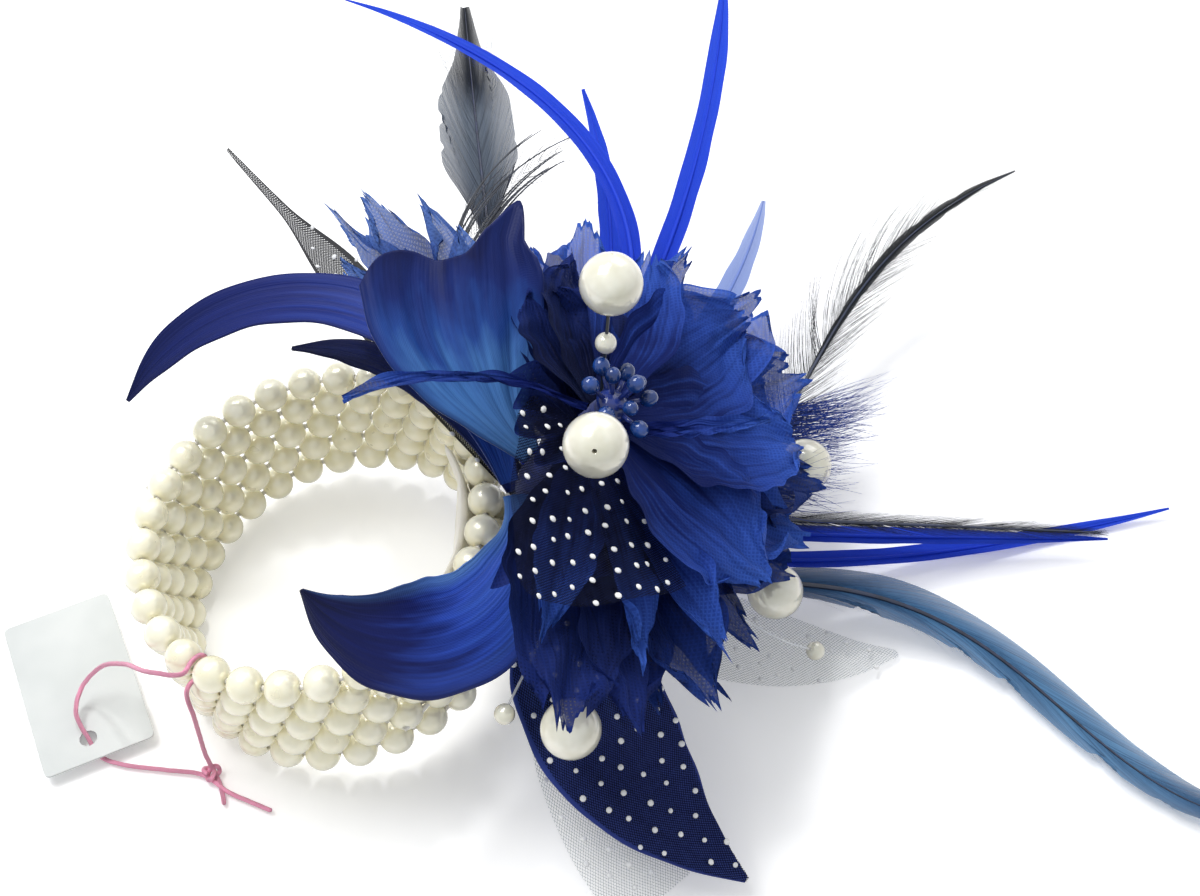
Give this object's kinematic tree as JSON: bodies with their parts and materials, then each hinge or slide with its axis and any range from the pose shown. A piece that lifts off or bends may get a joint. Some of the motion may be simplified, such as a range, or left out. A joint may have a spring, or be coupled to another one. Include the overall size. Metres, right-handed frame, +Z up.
{
  "type": "wrist corsage",
  "caption": "Wrist corsage: pearl bead stretch bracelet carrying a royal blue fabric flower with satin petals, organza, dotted tulle, pearl sprays, feathers and a blank hang tag.",
  "frame": {"origin": "on the surface that the corsage lies on, below the middle of its footprint without the hang tag and its string", "axes": "+Z up, +X from the wrist towards the flower and the trailing feathers, +Y away from the side that it is looked at from"},
  "size_m": [0.2107, 0.1724, 0.0806],
  "materials": {
    "pearl": "ivory pearl lacquer, glossy",
    "satin": "royal blue dyed satin, soft sheen, darker at the tips",
    "satin_deep": "navy satin, soft sheen",
    "organza": "sheer royal blue organza, frayed pinked tips",
    "dotted_tulle": "navy net with flocked white dots",
    "grey_tulle": "fine grey net",
    "biot": "royal blue trimmed feather, matt",
    "pale_biot": "pale blue trimmed feather, matt",
    "dark_feather": "black feather with loose barbs",
    "trailing_feather": "blue-black feather",
    "stamen": "blue glass-like beads, glossy",
    "lining": "smooth cream lining",
    "felt": "white felt, matt",
    "stem_tape": "navy tape, matt",
    "card": "plain white card",
    "string": "pink twisted thread"
  },
  "bodies": {
    "flower_side": {"beads_flower_side_1": "pearl", "beads_flower_side_2": "pearl", "beads_flower_side_3": "pearl", "beads_flower_side_4": "pearl", "beads_flower_side_5": "pearl", "wrist_lining": "lining", "felt_base": "felt", "stem_wrap": "stem_tape", "stamen_cluster": "stamen", "organza_layer_1": "organza", "organza_layer_2": "organza", "organza_layer_3": "organza", "organza_back_fan": "organza", "organza_rear_fan": "organza", "organza_slip_left": "organza", "organza_slip_right": "organza", "satin_arch_petal": "satin", "satin_fan_petal": "satin", "satin_curl_petal": "satin", "satin_tail_petal": "satin_deep", "satin_lower_petal": "satin_deep", "tulle_front_fan": "dotted_tulle", "tulle_corner_left": "dotted_tulle", "tulle_end_lower": "grey_tulle", "tulle_end_right": "grey_tulle", "biot_bent": "biot", "biot_short": "biot", "biot_tall": "biot", "biot_pale": "pale_biot", "biot_low_far": "biot", "biot_low_near": "biot", "hackle_dark": "dark_feather", "stripped_fibres": "dark_feather", "coque_curled": "dark_feather", "coque_low": "dark_feather", "feather_trailing": "trailing_feather"},
    "near_side": {"beads_near_side_1": "pearl", "beads_near_side_2": "pearl", "beads_near_side_3": "pearl", "beads_near_side_4": "pearl", "beads_near_side_5": "pearl", "tag_string": "string"},
    "wrist_side": {"beads_wrist_side_1": "pearl", "beads_wrist_side_2": "pearl", "beads_wrist_side_3": "pearl", "beads_wrist_side_4": "pearl", "beads_wrist_side_5": "pearl"},
    "far_side": {"beads_far_side_1": "pearl", "beads_far_side_2": "pearl", "beads_far_side_3": "pearl", "beads_far_side_4": "pearl", "beads_far_side_5": "pearl"},
    "pearl_spray_top": {"pearl_spray_top": "pearl"},
    "pearl_spray_centre": {"pearl_spray_centre": "pearl"},
    "pearl_spray_lower": {"pearl_spray_lower": "pearl"},
    "pearl_spray_right": {"pearl_spray_right": "pearl"},
    "pearl_spray_back": {"pearl_spray_back": "pearl"},
    "seed_spray_left": {"seed_spray_left": "pearl"},
    "seed_spray_right": {"seed_spray_right": "pearl"},
    "hang_tag": {"hang_tag": "card"}
  },
  "joints": [
    {"name": "near_side_stretch", "type": "slide", "parent": "flower_side", "child": "near_side", "axis": [-0.6333, -0.7678, -0.0969], "range_m": [0, 0.0113], "stiffness_N_per_m": 300},
    {"name": "wrist_side_stretch", "type": "slide", "parent": "near_side", "child": "wrist_side", "axis": [-0.6333, 0.7678, -0.0969], "range_m": [0, 0.0113], "stiffness_N_per_m": 300},
    {"name": "far_side_stretch", "type": "slide", "parent": "flower_side", "child": "far_side", "axis": [-0.6333, 0.7678, -0.0969], "range_m": [0, 0.0113], "stiffness_N_per_m": 300},
    {"name": "pearl_spray_top_sway", "type": "hinge", "parent": "flower_side", "child": "pearl_spray_top", "pos_m": [-0.01325, -0.02395, 0.05869], "axis": [0.2062, -0.9103, 0.3589], "range_deg": [-12, 12], "stiffness_Nm_per_rad": 0.01},
    {"name": "pearl_spray_centre_sway", "type": "hinge", "parent": "flower_side", "child": "pearl_spray_centre", "pos_m": [-0.01347, -0.02989, 0.05914], "axis": [0.9988, -0.0493, 0], "range_deg": [-12, 12], "stiffness_Nm_per_rad": 0.01},
    {"name": "pearl_spray_lower_sway", "type": "hinge", "parent": "flower_side", "child": "pearl_spray_lower", "pos_m": [-0.02347, -0.03056, 0.03639], "axis": [0.7284, -0.0613, 0.6824], "range_deg": [-10, 10], "stiffness_Nm_per_rad": 0.01},
    {"name": "pearl_spray_right_sway", "type": "hinge", "parent": "flower_side", "child": "pearl_spray_right", "pos_m": [-0.01975, -0.02802, 0.04433], "axis": [0.3162, -0.7582, 0.5702], "range_deg": [-4, 5], "stiffness_Nm_per_rad": 0.01},
    {"name": "pearl_spray_back_sway", "type": "hinge", "parent": "flower_side", "child": "pearl_spray_back", "pos_m": [-0.01985, -0.02686, 0.04434], "axis": [0.5605, -0.7579, 0.3338], "range_deg": [-7, 5], "stiffness_Nm_per_rad": 0.01},
    {"name": "seed_spray_left_sway", "type": "hinge", "parent": "flower_side", "child": "seed_spray_left", "pos_m": [-0.0245, -0.03071, 0.03887], "axis": [-0.7292, -0.1571, 0.666], "range_deg": [-12, 12], "stiffness_Nm_per_rad": 0.004},
    {"name": "seed_spray_right_sway", "type": "hinge", "parent": "flower_side", "child": "seed_spray_right", "pos_m": [-0.02033, -0.02887, 0.04392], "axis": [0.4377, 0.8481, 0.2984], "range_deg": [-7, 3], "stiffness_Nm_per_rad": 0.004},
    {"name": "hang_tag_swing", "type": "hinge", "parent": "near_side", "child": "hang_tag", "pos_m": [-0.0991, -0.052, 0.0019], "axis": [0, 0, 1], "range_deg": [-10, 25]}
  ],
  "couplings": [
    {"joint": "wrist_side_stretch", "follows": "near_side_stretch", "ratio": 1},
    {"joint": "far_side_stretch", "follows": "near_side_stretch", "ratio": 1}
  ]
}
